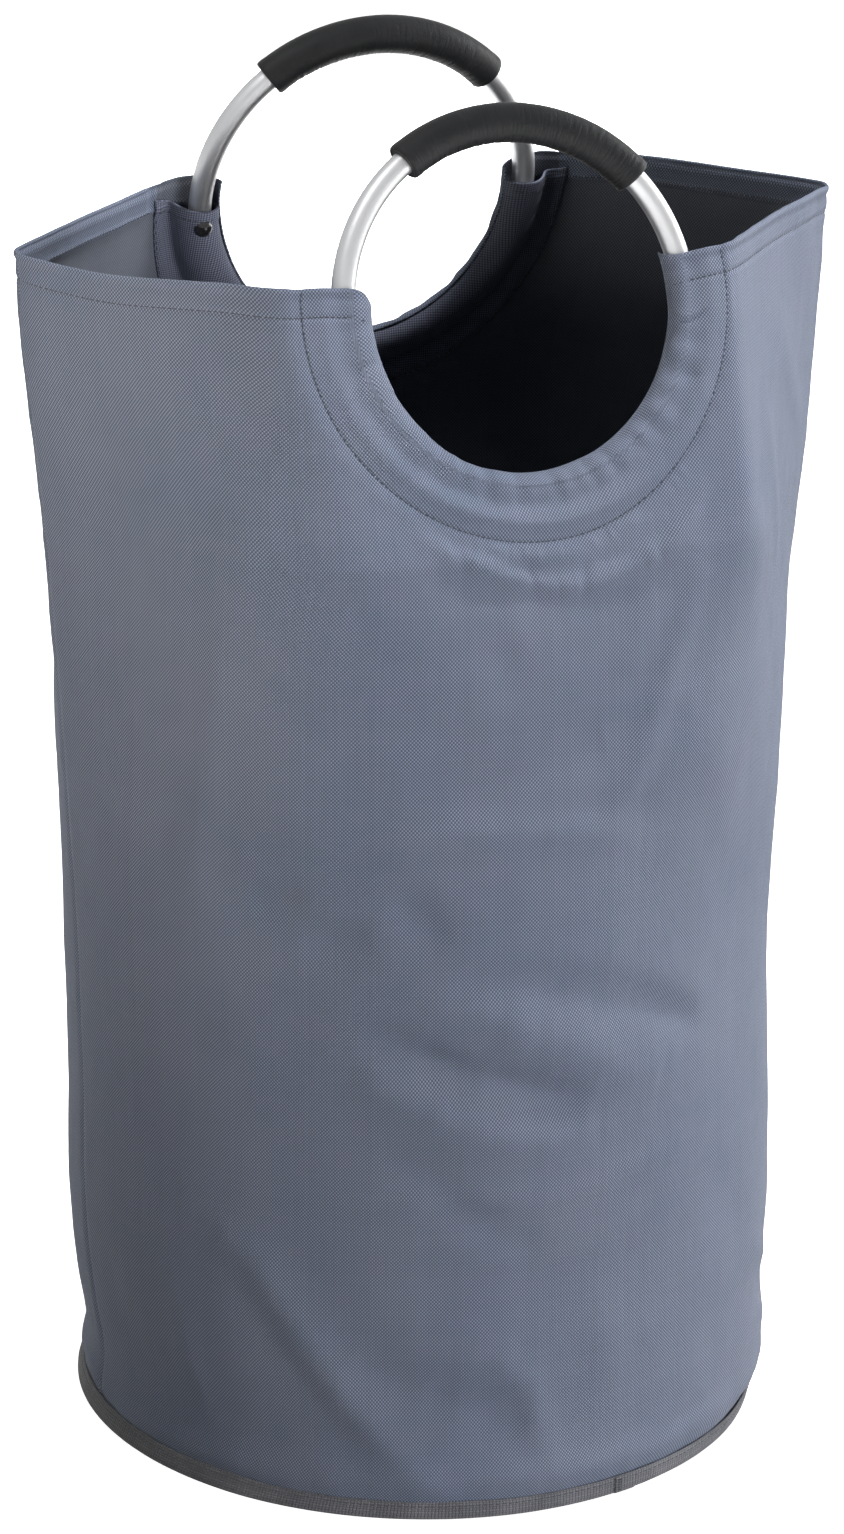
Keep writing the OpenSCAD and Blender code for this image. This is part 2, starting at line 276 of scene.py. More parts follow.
# Soft folds: points (x, z), half-width and height of each ridge, or of a valley if < 0.
FOLDS = {
    "front": [([(-86, 545), (-70, 529), (-50, 512), (-28, 502)], 5.5, 3),
        ([(-40, 507), (-20, 497), (4, 491), (18, 492)], 4.2, 2.6),
        ([(6, 489), (26, 491), (48, 497), (60, 504)], 6, 3.4),
        ([(52, 498), (68, 508), (80, 520), (90, 534)], 4.4, 2.8),
        ([(-66, 530), (-46, 515), (-30, 508)], 3.4, -1.5),
        ([(-22, 505), (-2, 499), (14, 500)], 3, -1.1),
        ([(26, 500), (44, 504), (62, 514)], 3.6, -1.6),
        ([(-62, 500), (-38, 490), (-20, 487)], 5, -1.5),
        ([(8, 481), (30, 480), (46, 484)], 4, -1.1), ([(-48, 516), (-40, 500)], 2.6, -1),
        ([(-9, 503), (-6, 488)], 2.4, -0.9), ([(21, 501), (19, 486)], 2.8, -1.1),
        ([(66, 516), (58, 500)], 2.6, -1), ([(58, 486), (50, 462), (38, 444)], 9, 2.4),
        ([(-40, 478), (-24, 456), (-14, 436)], 10, -1.8), ([(84, 440), (86, 370)], 42, 2.4),
        ([(-4, 486), (-6, 430), (-8, 380)], 62, 7.5),
        ([(-12, 420), (-16, 300), (-14, 130)], 95, 9),
        ([(-46, 294), (-16, 293), (14, 285)], 7, -2.4),
        ([(-6, 290), (28, 280), (62, 266), (95, 249)], 10, -4),
        ([(46, 276), (74, 263), (98, 248)], 6, -2.6), ([(-62, 278), (-34, 278), (-6, 266)], 11, 3),
        ([(-26, 270), (12, 256), (44, 238), (70, 230)], 15, 4.6),
        ([(-88, 266), (-60, 252), (-34, 240)], 8, -4.6),
        ([(-66, 252), (-36, 240), (-6, 230), (24, 221)], 12, -6),
        ([(-30, 243), (-4, 231), (22, 222)], 7, -2.6),
        ([(-92, 244), (-72, 232), (-48, 226)], 10, 3.2),
        ([(-60, 226), (-28, 212), (2, 206), (30, 208)], 13, 4.2),
        ([(84, 498), (64, 438), (48, 398), (28, 364)], 8, 3),
        ([(-85, 363), (-48, 372), (8, 370), (54, 359)], 9, 3),
        ([(-72, 395), (-24, 398), (30, 411)], 13, -4.2),
        ([(-122, 572), (-142, 496), (-149, 432)], 12, 1.6),
        ([(-146, 450), (-151, 400), (-156, 346), (-153, 292)], 12, 1.8),
        ([(-177, 436), (-166, 384)], 6, 1.3), ([(-150, 350), (-121, 354)], 2.5, 1),
        ([(-146, 340), (-124, 344)], 2.5, 0.9), ([(-135, 325), (-115, 335)], 8, -3.4),
        ([(-116, 305), (-84, 315)], 9, -4.2), ([(-71, 340), (-52, 312)], 10, -4.6),
        ([(-101, 169), (-46, 178), (14, 173), (59, 183), (100, 185)], 3.6, 1.9),
        ([(-80, 202), (-55, 186), (-34, 165), (2, 144)], 9, -3.2),
        ([(-151, 152), (-131, 134), (-111, 94), (-94, 64), (-53, 14)], 12, 4.6),
        ([(-92, 84), (-66, 72), (-40, 66)], 16, -4), ([(-56, 68), (-28, 58), (-4, 46)], 15, -3.6),
        ([(-22, 92), (-4, 70), (10, 22)], 9, 2.6), ([(30, 120), (44, 80), (40, 30)], 12, 1.4),
        ([(63, 21), (102, 33)], 4, -1.3), ([(140, 100), (160, 82), (175, 66)], 7, 1.4),
        ([(150, 52), (172, 34)], 7, 1.2), ([(-165, 120), (-160, 70), (-150, 26)], 9, 1.5),
        ([(-180, 560), (-172, 520), (-168, 470)], 12, 1.2),
        ([(150, 600), (168, 560), (186, 520)], 10, 1.4),
        ([(135, 560), (142, 520), (150, 470)], 9, 1.2)],
    "rear": [([(-70, 505), (-20, 492), (40, 496), (82, 528)], 7, 1.5),
        ([(-120, 520), (-96, 450), (-70, 380), (-40, 330)], 9, 1.6),
        ([(60, 470), (40, 410), (10, 360)], 9, -1.5), ([(-60, 300), (0, 270), (60, 262)], 12, -3),
        ([(-70, 275), (0, 246), (70, 232)], 13, 2.8),
        ([(110, 180), (70, 130), (50, 80), (20, 30)], 12, 2.6),
        ([(80, 170), (40, 110), (24, 60)], 11, -2.4),
        ([(-130, 160), (-110, 100), (-100, 40)], 10, 1.8),
        ([(150, 420), (146, 340), (150, 260)], 10, 1.4),
        ([(-150, 400), (-152, 330), (-148, 250)], 10, 1.2),
        ([(-40, 190), (20, 176), (70, 182)], 5, 0.9),
        ([(140, 560), (160, 520), (170, 480)], 10, 1.2)]}
# Short gathers across the tunnel: angle, inner and outer radius, half-width, depth.
GATHERS = {
    "front": [(-178, 74, 97, 2.4, 0.5), (-164, 74, 99, 3.2, 1.2), (-152, 76, 97, 2, 0.4),
        (-141, 74, 99, 3, 1.1), (-126, 74, 98, 2.6, 0.9), (-117, 76, 98, 1.8, 0.4),
        (-109, 74, 99, 2.5, 0.9), (-98, 76, 98, 2, 0.5), (-86, 74, 100, 2.2, 0.9),
        (-79, 78, 98, 1.6, 0.4), (-73, 74, 100, 2, 0.8), (-65, 74, 100, 2, 0.8),
        (-55, 74, 98, 2, 0.7), (-47, 76, 101, 2.4, 1), (-37, 76, 98, 2, 0.5),
        (-27, 76, 100, 3, 1.5), (-17, 78, 97, 2, 0.5)],
    "rear": [(-4, 76, 98, 2.4, 0.8), (-21, 74, 98, 2.8, 1), (-34, 76, 98, 2, 0.6),
        (-47, 74, 100, 2.4, 0.9), (-60, 76, 99, 2, 0.6), (-72, 74, 100, 2.6, 0.9),
        (-88, 76, 100, 2, 0.7), (-101, 74, 99, 2.4, 0.9), (-116, 76, 98, 2, 0.5),
        (-131, 74, 98, 2.8, 1.1), (-152, 74, 98, 2.4, 0.9), (-170, 76, 96, 2.2, 0.6)]}
# Sharp little creases in the tunnel: points across and up from the ring's middle,
# half-width and depth.
CREASES = {
    "front": [([(79.5, -11.5), (84, -14.4), (88.5, -14.6), (93, -12.4), (97, -8.4)], 1.2, 1.3),
        ([(-79, -22), (-84, -24.5), (-90, -24)], 1.5, 0.6),
        ([(86, -43), (92, -41), (98, -35)], 1.6, 0.7)],
    "rear": [([(-80, -12), (-86, -15), (-93, -13), (-97, -9)], 1.4, 1),
        ([(78, -20), (85, -24), (92, -23)], 1.5, 0.8)]}


def settle(p):
    """Moves points of the cloth as the whole bag sways and settles a little."""
    p = np.array(p, float)
    x, z = p[..., 0].copy(), p[..., 2]
    still = 20 + 100 * smooth((z - 440) / 70)
    for sign in (-1, 1):
        p[..., 0] += curve_through(z, SWAY[sign]) * smooth((sign * x - still) / (170 - still))
    p[..., 1] -= 1.6 * smooth((60 - z) / 60) * smooth((-p[..., 1] - 20) / 130)
    return p


def line_relief(x, y, line, width, height):
    """Height of a ridge along a bent line, which fades at both ends."""
    best, place = np.full(np.shape(x), 1e9), np.zeros(np.shape(x))
    lengths = np.hypot(*np.diff(line, axis=0).T)
    done = 0.0
    for (a, b), length in zip(zip(line[:-1], line[1:]), lengths):
        d = (b - a) / length
        t = np.clip((x - a[0]) * d[0] + (y - a[1]) * d[1], 0, length)
        dist = np.hypot(x - a[0] - t * d[0], y - a[1] - t * d[1])
        place = np.where(dist < best, (done + t) / lengths.sum(), place)
        best = np.minimum(best, dist)
        done += length
    ends = np.sqrt(np.clip(4 * place * (1 - place), 0.02, 1))
    return height * ends * np.exp(-((best / width) ** 2))


class Wall:
    """The front or rear half of the bag's cloth, as a surface over (u, z): u is the
    distance along the cloth from its middle, z the height it had before it sagged."""

    def __init__(self, name):
        self.name = name
        self.side, self.seed = (-1.0, 11) if name == "front" else (1.0, 47)
        self.lean = math.radians(LEANS[name])
        c, s = math.cos(self.lean), math.sin(self.lean)
        self.centre = np.array([0, self.side * (RING_LOW_Y - RING_R * s), RING_LOW_Z + RING_R * c])
        self.up = np.array([0, -self.side * s, c])
        self.inward = np.array([0, -self.side * c, -s])
        self.middle_z = self.centre[2] + FACE_OFF * s
        self.quarters = {sign: QUARTERS[name, sign] for sign in (-1, 1)}
        self.folds = [(np.array([(self.u_at(x, z), z) for x, z in points]), width, height)
                      for points, width, height in FOLDS[name]]
        self.creases = [(np.array(line, float), *size) for line, *size in CREASES[name]]

    def stitch_r(self, angle):
        """Radius of the tunnel's stitch line at an angle in degrees."""
        return curve_through(angle, STITCH[self.name])

    def edge_r(self, angle):
        return curve_through(angle, EDGE[self.name])

    def rim_z(self, x):
        return curve_through(x, RIM[self.name])

    def on_ring(self, r, angle, n):
        """Point at a radius and angle (radians) round the ring, n mm towards the inside."""
        r, angle, n = (np.asarray(q, float)[..., None] for q in (r, angle, n))
        across = np.array([1.0, 0, 0])
        out = np.cos(angle) * across + np.sin(angle) * self.up
        return self.centre + r * out + n * self.inward

    def in_cloth(self, r, angle):
        """(u, z) of the cloth at a radius and angle (radians) round the ring."""
        return r * np.cos(angle), self.middle_z + r * np.sin(angle) * math.cos(self.lean)

    def polar(self, x, z):
        """Radius and angle in degrees (-270 to 90) round the ring's middle."""
        v = (z - self.middle_z) / math.cos(self.lean)
        angle = np.degrees(np.arctan2(v, x))
        return np.hypot(x, v), np.where(angle > 90, angle - 360, angle)

    def half(self, u, z):
        """Length along the cloth from the middle to the seam, on u's side."""
        return np.where(np.asarray(u) < 0, self.quarters[-1].half(z), self.quarters[1].half(z))

    def bare(self, u, z):
        """The wall without its relief."""
        u, z = np.broadcast_arrays(np.asarray(u, float), np.asarray(z, float))
        share = np.abs(u) / self.half(u, z)
        left, right = self.quarters[-1], self.quarters[1]
        x = np.where(u < 0, -left.at(left.x, share, z), right.at(right.x, share, z))
        y = np.where(u < 0, left.at(left.y, share, z), right.at(right.y, share, z))
        # round the tunnel the cloth lies flat along the handle
        r = self.polar(x, z)[0]
        loose = [smooth((r - flat) / turn) for flat, turn in FLAT_ROUND[self.name]]
        pull = (1 - mix(*loose, smooth((x + 40) / 80))) * smooth((z - 495) / 35)
        y = mix(y, half_depth(z), pull)
        return stack(x, seam_y(z) + self.side * y + self.corner_shift(x, z), z)

    @staticmethod
    def corner_shift(x, z):
        return 6 * smooth((np.abs(x) - 110) / 110) * smooth((z - 470) / 160)

    def x_at(self, u, z):
        return self.bare(u, z)[..., 0]

    def u_at(self, x, z):
        """Place along the cloth of the point at x at a height."""
        quarter = self.quarters[-1 if x < 0 else 1]
        row = quarter.x[int(round(z / LEVEL_STEP))]
        return math.copysign(np.interp(abs(x), row, SHARES) * float(quarter.half(z)), x)

    def normal_of(self, surface, u, z, e):
        du, dz = surface(u + e, z) - surface(u - e, z), surface(u, z + e) - surface(u, z - e)
        return unit(np.cross(du, dz)) * -self.side

    def channel(self, r, angle):
        """Relief of the sewn channel round the handle's tube, in mm outwards."""
        seam, ridge = self.stitch_r(angle), curve_through(angle, RIDGE[self.name])
        low = bump(angle, -90, 48)
        # over the tube it stands out, beside it it dips, then swells and falls to the stitches
        crest = mix(ridge, seam, 0.36)
        h = (0.8 + 1.5 * low) * bump(r, crest, 4.8) - (0.55 + 0.75 * low) * bump(r, ridge - 3, 4.2)
        h -= 0.7 * smooth((r - crest) / (seam - crest)) * (1 - smooth((r - seam) / 8))
        h -= (0.4 + 0.5 * low) * bump(r, seam, 1.15)
        ripple = noise2(angle * 2.0, r * 0.25, 7.5, 9.0, self.seed)
        fine = noise2(angle * 2.0, r * 0.4, 3.4, 7.0, self.seed + 1)
        h += (1.1 * np.maximum(0, ripple) + 0.5 * np.maximum(0, fine)) * (
            0.25 * bump(r, seam - 4, 3.0) + (0.2 + 1.6 * low) * bump(r, seam + 5, 4.0))
        h += (0.30 * ripple + 0.05 * fine) * smooth((ridge + 1 - r) / 6)
        for at, r0, r1, width, depth in GATHERS[self.name]:
            off = np.radians(angle - at - 0.10 * (r - r0)) * r
            dent = 0.95 * bump(off, 0, 1.6 * width) - 0.45 * bump(off, 3.0 * width, 1.8 * width)
            h -= depth * smooth((r - r0) / 6) * smooth((r1 + 2 - r) / 10) * dent
        x, v = r * np.cos(np.radians(angle)), r * np.sin(np.radians(angle))
        for line, width, depth in self.creases:
            h -= line_relief(x, v, line, width, depth)
            h += line_relief(x, v - 2.6, line, 1.9, 0.55 * depth)
        return h

    def height(self, u, z):
        """All that lifts the cloth from its bare shape, in mm outwards."""
        x, seed = self.x_at(u, z), self.seed
        reach = self.half(u, z) - np.abs(u)
        r, angle = self.polar(x, z)
        near_ring = smooth((140 - r) / 18)
        away = 1 - 0.8 * near_ring
        folds = sum(line_relief(u, z, *fold) for fold in self.folds)
        h = self.channel(r, angle) * (z > CHANNEL_Z)
        h += folds * (1 - 0.85 * smooth((z - 505) / 20) * near_ring)
        broad = (1.1 * noise2(u, z, 62, 88, seed + 2)
                 + 0.5 * noise2(u + 0.5 * z, z, 31, 52, seed + 3))
        fine = (0.16 * noise2(u, z - 0.4 * u, 12, 17, seed + 4)
                + 0.07 * noise2(u, z, 5.5, 6.5, seed + 5))
        h += (broad * smooth(reach / 40) * smooth((z - 14) / 40) + fine) * (1 - 0.9 * near_ring)
        # the hem's stitch line and its small puckers
        below = self.rim_z(x) - z
        h += 0.8 * bump(below, 1.2, 1.9) - 0.35 * bump(below, 4.4, 1.6)
        h -= 0.75 * bump(below, HEM_H - 0.6, 1.1)
        above = 0.35 * np.maximum(0, noise2(u, z, 9, 30, seed + 6)) * bump(below, HEM_H - 3.5, 5)
        under = 0.3 * np.maximum(0, noise2(u, z, 8, 30, seed + 7)) * bump(below, HEM_H + 3.5, 4)
        h += (above + under) * away
        h += 0.8 * noise1(u, 34, seed + 12) * smooth((40 - below) / 40) * away
        # the side seams
        h -= 0.9 * bump(reach, 0, 2.6)
        puckers = np.maximum(0, noise1(z, 13, seed + 8))
        h += 0.5 * puckers * bump(reach, 6, 5) * smooth((z - 14) / 20)
        # the cloth swells above the binding, gathered by its stitches
        h += (2.1 + 0.9 * noise1(u, 45, seed + 9)) * bump(z, 20, 9) * smooth((z - 9) / 6)
        h += 0.6 * noise1(u + 0.15 * z, 8, seed + 10) * bump(z, 15, 7)
        h += 0.5 * noise1(u, 19, seed + 11) * bump(z, 22, 14)
        return h * smooth((z - 4) / 6)

    def surface(self, u, z):
        u, z = np.asarray(u, float), np.asarray(z, float)
        u = np.sign(u) * np.minimum(np.abs(u), self.half(u, z))
        normal = self.normal_of(self.bare, u, z, 0.8)
        return settle(self.bare(u, z) + normal * self.height(u, z)[..., None])

    def surface_normal(self, u, z):
        return self.normal_of(self.surface, u, z, 0.5)


WALLS = {name: Wall(name) for name in LEANS}


# ---------------------------------------------------------------- mesh helpers
def grid_faces(ni, nj, closed=False, hoop=False):
    """Quads of a grid of points; closed joins its last column to its first, hoop its rows."""
    i, j = np.meshgrid(np.arange(ni if hoop else ni - 1), np.arange(nj if closed else nj - 1),
                       indexing="ij")
    i2, j2 = (i + 1) % ni, (j + 1) % nj
    return stack(i * nj + j, i * nj + j2, i2 * nj + j2, i2 * nj + j).reshape(-1, 4)


def grid_normals(points):
    return unit(np.cross(np.gradient(points, axis=0), np.gradient(points, axis=1)))


def make_object(name, verts, faces, materials, uv=None, material_index=None):
    """A smooth-shaded mesh object from points in mm."""
    mesh = bpy.data.meshes.new(name)
    mesh.from_pydata((np.asarray(verts) * MM).tolist(), [], [list(map(int, f)) for f in faces])
    for m in materials:
        mesh.materials.append(m)
    mesh.polygons.foreach_set("use_smooth", np.ones(len(mesh.polygons), bool))
    if material_index is not None:
        mesh.polygons.foreach_set("material_index", np.asarray(material_index, np.int32))
    if uv is not None:
        layer = mesh.uv_layers.new(name="cloth")
        index = np.zeros(len(mesh.loops), np.int32)
        mesh.loops.foreach_get("vertex_index", index)
        layer.data.foreach_set("uv", (np.asarray(uv)[index] * MM).astype(np.float32).ravel())
    mesh.update()
    obj = bpy.data.objects.new(name, mesh)
    SCENE.collection.objects.link(obj)
    return obj


def closed_object(*args):
    """A mesh object whose normals all point outwards."""
    obj = make_object(*args)
    bm = bmesh.new()
    bm.from_mesh(obj.data)
    bmesh.ops.recalc_face_normals(bm, faces=bm.faces)
    bm.to_mesh(obj.data)
    bm.free()
    return obj


def shell_parts(face, back, cloth, wraps, step):
    """Closed shell between the two faces of a sheet, with round side edges of so many
    points: its points, their places on the flat cloth, its quads, and its end faces."""

    def side_edge(col, next_col):
        a, b = face[:, col], back[:, col]
        mid, half = (a + b) / 2, (a - b) / 2
        out = unit(a - face[:, next_col]) * np.linalg.norm(half, axis=-1, keepdims=True)
        turns = math.pi * np.arange(1, wraps + 1) / (wraps + 1)
        return np.stack([mid + half * math.cos(t) + out * math.sin(t) for t in turns], axis=1)

    (ni, nj), nl = face.shape[:2], 2 * (face.shape[1] + wraps)
    points = np.concatenate([face, side_edge(-1, -2), back[:, ::-1], side_edge(0, 1)[:, ::-1]],
                            axis=1)
    grow = (np.arange(1, wraps + 1) * step)[None, :, None] * np.array([0, 1.0])
    uv = np.concatenate([cloth, cloth[:, -1:] + grow, cloth[:, ::-1],
                         (cloth[:, :1] + grow)[:, ::-1]], axis=1)
    ends = []
    for i in (0, ni - 1):
        near = i * nl + np.arange(nj)
        far = i * nl + 2 * nj + wraps - 1 - np.arange(nj)
        ends += stack(near[:-1], near[1:], far[1:], far[:-1]).tolist()
        ends += [[i * nl + (first - 1 + q) % nl for q in range(wraps + 2)]
                 for first in (nj, 2 * nj + wraps)]
    return points.reshape(-1, 3), uv.reshape(-1, 2), grid_faces(ni, nl, closed=True), ends


def stitches(points, normals, pitch=3.1, length=2.45, radius=0.31, sink=0.04):
    """Sewn thread along a line: verts and faces of small bowed stitches."""
    points, normals = np.asarray(points, float), np.asarray(normals, float)
    along = running_length(points)
    count = int(along[-1] / pitch)
    at = (np.arange(count) + 0.5) * along[-1] / count

    def place(values, where):
        return np.stack([np.interp(where, along, q) for q in values.T], axis=-1)

    up = unit(place(normals, at))
    lengthwise = unit(place(points, at + 0.8) - place(points, at - 0.8))
    across = unit(np.cross(up, lengthwise))
    sides, rings = 8, 6
    t = np.array([-1, -0.82, -0.4, 0.4, 0.82, 1])
    girth = (np.array([0.25, 0.78, 1, 1, 0.78, 0.25]) * radius)[:, None]
    turn = np.arange(sides) * 2 * math.pi / sides
    along_it = np.repeat(t * length / 2, sides)
    across_it = (girth * np.cos(turn)).ravel()
    up_it = (girth * np.sin(turn) - (t**2 * radius * 0.9)[:, None]).ravel() - sink + radius * 0.5
    verts = place(points, at)[:, None] + sum(
        way[:, None] * one[None, :, None]
        for way, one in ((lengthwise, along_it), (across, across_it), (up, up_it)))
    size = sides * rings
    body = grid_faces(rings, sides, closed=True)
    faces = []
    for k in range(0, count * size, size):
        faces += (body + k).tolist()
        faces += [[k + q for q in range(sides)][::-1], [k + size - sides + q for q in range(sides)]]
    return verts.reshape(-1, 3), faces


def thread_object(name, runs):
    verts, faces, base = [], [], 0
    for v, f in runs:
        verts.append(v)
        faces += [[q + base for q in face] for face in f]
        base += len(v)
    return closed_object(name, np.concatenate(verts), faces, [THREAD])


# ---------------------------------------------------------------- materials
class Shader:
    """A node material, with a short way to put in each kind of node."""

    def __init__(self, name):
        self.mat = bpy.data.materials.new(name)
        self.mat.use_nodes = True
        self.tree = self.mat.node_tree
        self.tree.nodes.clear()
        out = self.tree.nodes.new("ShaderNodeOutputMaterial")
        self.bsdf = self.tree.nodes.new("ShaderNodeBsdfPrincipled")
        self.tree.links.new(self.bsdf.outputs[0], out.inputs[0])
        self.place = self.node("ShaderNodeTexCoord").outputs["Object"]

    def put(self, socket, value):
        if isinstance(value, bpy.types.NodeSocket):
            self.tree.links.new(value, socket)
        else:
            socket.default_value = (*value, 1) if socket.type == "RGBA" else value

    def node(self, kind, inputs=(), **props):
        n = self.tree.nodes.new(kind)
        for k, v in props.items():
            setattr(n, k, v)
        for k, v in dict(inputs).items():
            self.put(n.inputs[k], v)
        return n

    def cloth_place(self):
        return self.node("ShaderNodeUVMap", uv_map="cloth").outputs[0]

    def stretched(self, vector, scale):
        return self.node("ShaderNodeMapping", {"Vector": vector, "Scale": scale}).outputs[0]

    def math(self, op, *values, clamp=False):
        values = dict(enumerate(values))
        return self.node("ShaderNodeMath", values, operation=op, use_clamp=clamp).outputs[0]

    def times(self, value, *more):
        for factor in more:
            value = self.math("MULTIPLY", value, factor)
        return value

    def noise(self, scale, detail=3.0, rough=0.55, vector=None):
        values = {"Scale": scale, "Detail": detail, "Roughness": rough}
        values["Vector"] = self.place if vector is None else vector
        return self.node("ShaderNodeTexNoise", values).outputs["Fac"]

    def remap(self, *values):
        """Value, its range from and to, and the range it is taken to."""
        return self.node("ShaderNodeMapRange", dict(enumerate(values))).outputs[0]

    def blend(self, fac, a, b):
        return self.node("ShaderNodeMix", {0: fac, 6: a, 7: b}, data_type="RGBA").outputs[2]

    def mottle(self, field, low, high, dark, light, most=1.0):
        """One colour below the low value of a field, the other above the high one."""
        return self.blend(self.remap(field, low, high, 0.0, most), dark, light)

    def scale_colour(self, colour, value):
        values = {0: colour, 3: value}
        return self.node("ShaderNodeVectorMath", values, operation="SCALE").outputs[0]

    def bump(self, height, distance, strength, normal=None):
        values = {"Height": height, "Distance": distance, "Strength": strength}
        if normal is not None:
            values["Normal"] = normal
        return self.node("ShaderNodeBump", values).outputs[0]

    def set(self, **values):
        for k, v in values.items():
            self.put(self.bsdf.inputs[k.replace("_", " ")], v)
        return self.mat


def weave_fields(s, vector, pitch_u, pitch_v):
    """Plain weave: height of the threads, which set is on top, and a value per thread."""
    parts = s.node("ShaderNodeSeparateXYZ", {0: vector}).outputs
    a, b = s.math("DIVIDE", parts[0], pitch_u * MM), s.math("DIVIDE", parts[1], pitch_v * MM)
    cosines = [s.math("COSINE", s.times(q, math.pi)) for q in (a, b)]
    over = s.math("MULTIPLY_ADD", s.times(*cosines), 0.95, 0.5, clamp=True)
    under = s.math("SUBTRACT", 1.0, over)

    def profile(q):
        off = s.math("SUBTRACT", s.math("FRACT", s.math("ADD", q, 0.5)), 0.5)
        return s.math("SUBTRACT", 1.0, s.times(off, off, 3.6))

    def per_thread(q, seed):
        index = s.math("ADD", s.math("FLOOR", s.math("ADD", q, 0.5)), seed)
        return s.node("ShaderNodeTexWhiteNoise", {"W": index}, noise_dimensions="1D").outputs[0]

    height = s.math("MAXIMUM", s.times(profile(a), over), s.times(profile(b), under))
    tone = s.math("ADD", s.times(per_thread(a, 0.3), over), s.times(per_thread(b, 7000.7), under))
    return height, over, tone


def cloth_material(name, dark, light, tint, turn=0.0, rough=0.78, pitch=(0.85, 0.95),
                   weave_depth=0.00016, contrast=0.6):
    s = Shader(name)
    uv = s.cloth_place()
    if turn:
        uv = s.node("ShaderNodeVectorRotate", {"Vector": uv, "Angle": math.radians(turn)},
                    rotation_type="Z_AXIS").outputs[0]
    height, over, tone = weave_fields(s, uv, *pitch)
    small = s.noise(62.0, 4.0, 0.62)
    slub = s.noise(1.0, 2.0, vector=s.stretched(uv, (900, 60, 1)))
    base = s.mottle(s.noise(9.0, 4.0, 0.6), 0.32, 0.68, dark, light)
    base = s.mottle(small, 0.35, 0.75, base, tint, most=0.55)
    # the thread crowns are painted a little lighter and the gaps between the threads darker, a
    # painted highlight and painted shade; one set of threads is lighter than the other, so the weave
    # reads as fine diagonals
    shade = s.times(s.remap(height, 0.15, 0.95, 0.80, 1.06), s.remap(tone, 0.0, 1.0, 0.96, 1.04),
                    s.remap(slub, 0.3, 0.7, 0.985, 1.015),
                    s.remap(over, 0.0, 1.0, 1 - contrast, 1 + contrast))
    return s.set(Base_Color=s.scale_colour(base, shade),
                 Roughness=s.remap(height, 0.1, 0.9, rough + 0.12, rough - 0.06),
                 Normal=s.bump(height, weave_depth, 0.9, s.bump(small, 0.0006, 0.35)),
                 Sheen_Weight=0.03, Sheen_Roughness=0.45, Specular_IOR_Level=0.35)


def tape_material(name, dark, light):
    s = Shader(name)
    height, _, tone = weave_fields(s, s.cloth_place(), 1.75, 1.3)
    fuzz = s.noise(900.0, 3.0, 0.7)
    # the gaps between the threads are painted much darker and the crowns lighter, painted shade and a
    # painted highlight; the tone and fuzz are the tape's own
    shade = s.times(s.remap(height, 0.1, 0.95, 0.5, 1.18), s.remap(tone, 0.0, 1.0, 0.86, 1.1),
                    s.remap(fuzz, 0.3, 0.7, 0.9, 1.08))
    return s.set(Base_Color=s.scale_colour(s.mottle(s.noise(40.0), 0.3, 0.7, dark, light), shade),
                 Roughness=s.remap(fuzz, 0.2, 0.8, 0.8, 0.95),
                 Normal=s.bump(height, 0.0005, 0.9, s.bump(fuzz, 0.0003, 0.4)),
                 Sheen_Weight=0.2, Sheen_Roughness=0.5, Specular_IOR_Level=0.25)


def thread_material(name, dark, light):
    s = Shader(name)
    strands = s.noise(2600.0, 2.0, 0.6)
    return s.set(Base_Color=s.mottle(strands, 0.3, 0.7, dark, light),
                 Roughness=s.remap(strands, 0.3, 0.7, 0.5, 0.75),
                 Normal=s.bump(strands, 0.0001, 0.5), Sheen_Weight=0.2)


def tube_material(name):
    """Satin anodised aluminium: faint drawing lines and fine grain."""
    s = Shader(name)
    grain, cloud, rub = s.noise(2400.0, 3.0, 0.6), s.noise(35.0, 3.0, 0.5), s.noise(210.0, 5.0, 0.7)
    rough = s.math("ADD", s.remap(grain, 0.3, 0.7, 0.40, 0.48), s.remap(rub, 0.45, 0.8, 0.0, 0.08))
    return s.set(Base_Color=s.mottle(cloud, 0.3, 0.7, (0.71, 0.714, 0.72), (0.77, 0.773, 0.78)),
                 Metallic=1.0, Roughness=rough, Normal=s.bump(grain, 0.00003, 0.6))


def foam_material(name):
    """Black closed-cell foam: fine skin grain and soft shine."""
    s = Shader(name)
    pores = s.node("ShaderNodeTexVoronoi", {"Vector": s.place, "Scale": 1300.0}).outputs["Distance"]
    skin, worn = s.noise(420.0, 5.0, 0.65), s.noise(55.0)
    height = s.math("ADD", s.times(pores, 0.45), s.times(skin, 0.8))
    colour = s.mottle(worn, 0.35, 0.7, (0.0060, 0.0064, 0.0070), (0.0100, 0.0104, 0.0112))
    return s.set(Base_Color=s.scale_colour(colour, s.remap(skin, 0.25, 0.75, 0.8, 1.25)),
                 Roughness=s.remap(skin, 0.3, 0.7, 0.46, 0.6), Normal=s.bump(height, 0.00022, 0.7),
                 Specular_IOR_Level=0.3, Sheen_Weight=0.12, Sheen_Roughness=0.3)


def rivet_material(name):
    s = Shader(name)
    mark = s.noise(260.0, 4.0, 0.6)
    return s.set(Base_Color=s.mottle(mark, 0.4, 0.7, (0.008, 0.008, 0.009), (0.02, 0.02, 0.022)),
                 Roughness=s.remap(mark, 0.3, 0.7, 0.16, 0.28),
                 Normal=s.bump(s.noise(1500.0, 3.0, 0.5), 0.00003, 0.4),
                 Coat_Weight=0.5, Coat_Roughness=0.1)


def board_material(name):
    s = Shader(name)
    fibre = s.noise(1.0, 6.0, 0.7, s.stretched(s.place, (260, 60, 60)))
    colour = s.mottle(s.noise(14.0, 4.0, 0.6), 0.3, 0.7, (0.075, 0.076, 0.08), (0.12, 0.12, 0.125))
    return s.set(Base_Color=s.scale_colour(colour, s.remap(fibre, 0.3, 0.7, 0.82, 1.15)),
                 Roughness=s.remap(fibre, 0.3, 0.7, 0.75, 0.9), Normal=s.bump(fibre, 0.0004, 0.6))


